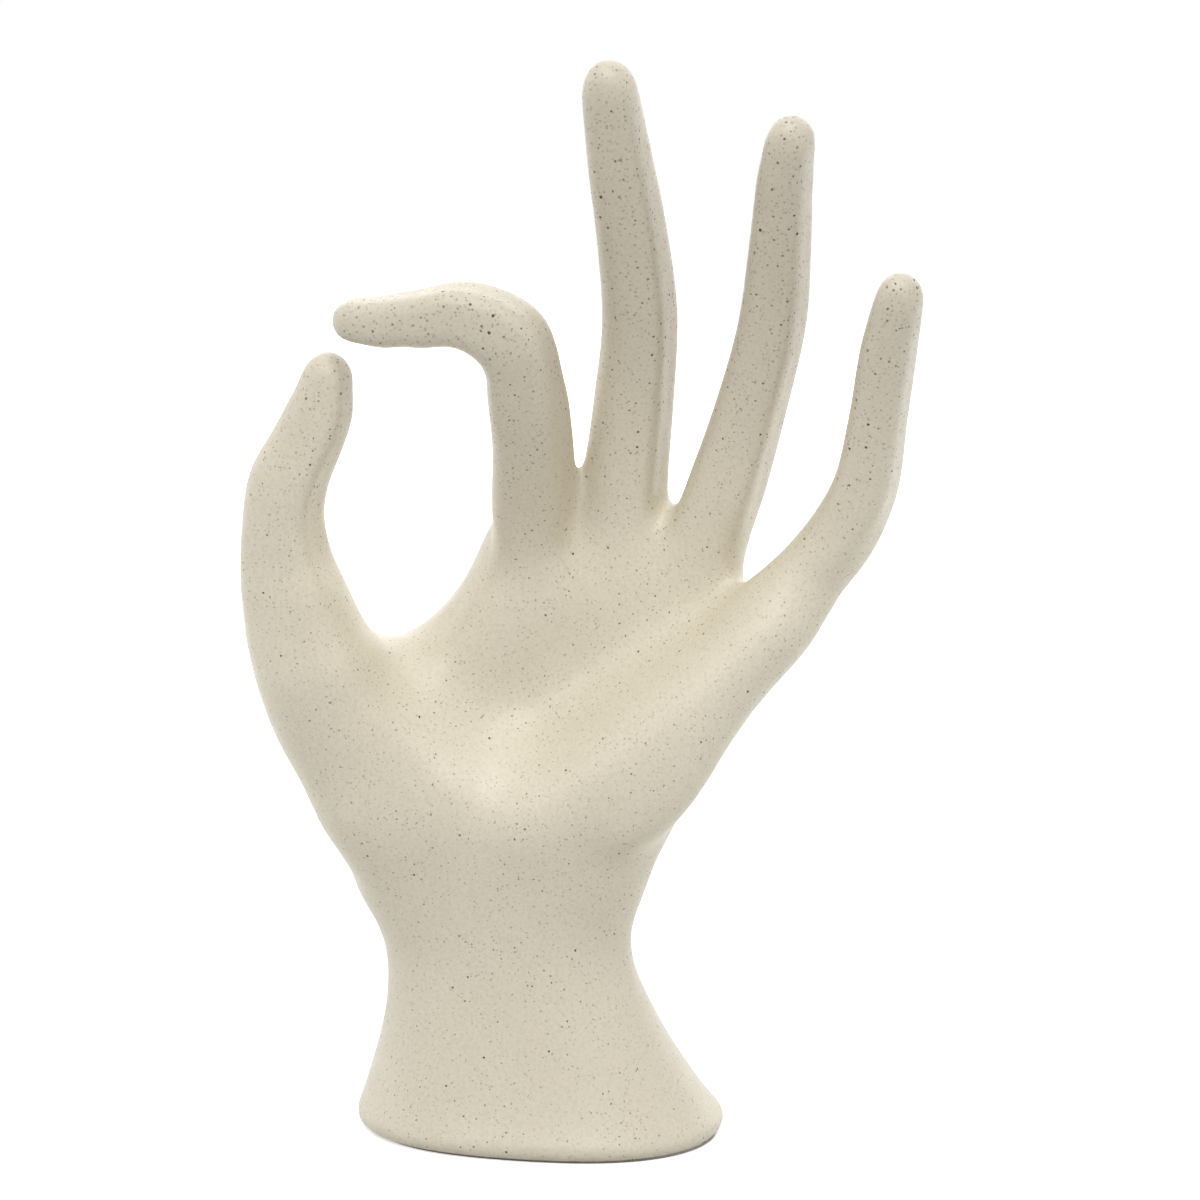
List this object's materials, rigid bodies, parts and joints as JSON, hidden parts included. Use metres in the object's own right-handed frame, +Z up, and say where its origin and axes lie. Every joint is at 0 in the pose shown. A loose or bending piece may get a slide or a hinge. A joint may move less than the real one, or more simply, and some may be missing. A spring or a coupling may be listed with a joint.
{
  "type": "ceramic hand sculpture",
  "caption": "Free-standing speckled ceramic left hand, palm forward, thumb and forefinger bent into an open loop, other fingers spread, on a flared oval foot.",
  "frame": {"origin": "middle of the felt's underside, which rests on the table", "axes": "+Z up, +X towards the little finger along the foot's long axis, -Y out of the palm"},
  "size_m": [0.1566, 0.0723, 0.2531],
  "materials": {
    "glaze": "satin cream glaze with fine dark and tan specks",
    "bare_clay": "unglazed fired clay",
    "felt": "thin pressed felt"
  },
  "bodies": {
    "root": {"hand_body": "glaze", "thumb": "glaze", "index_finger": "glaze", "middle_finger": "glaze", "ring_finger": "glaze", "little_finger": "glaze", "base_slab": "bare_clay", "felt_sheet": "felt"}
  },
  "joints": []
}
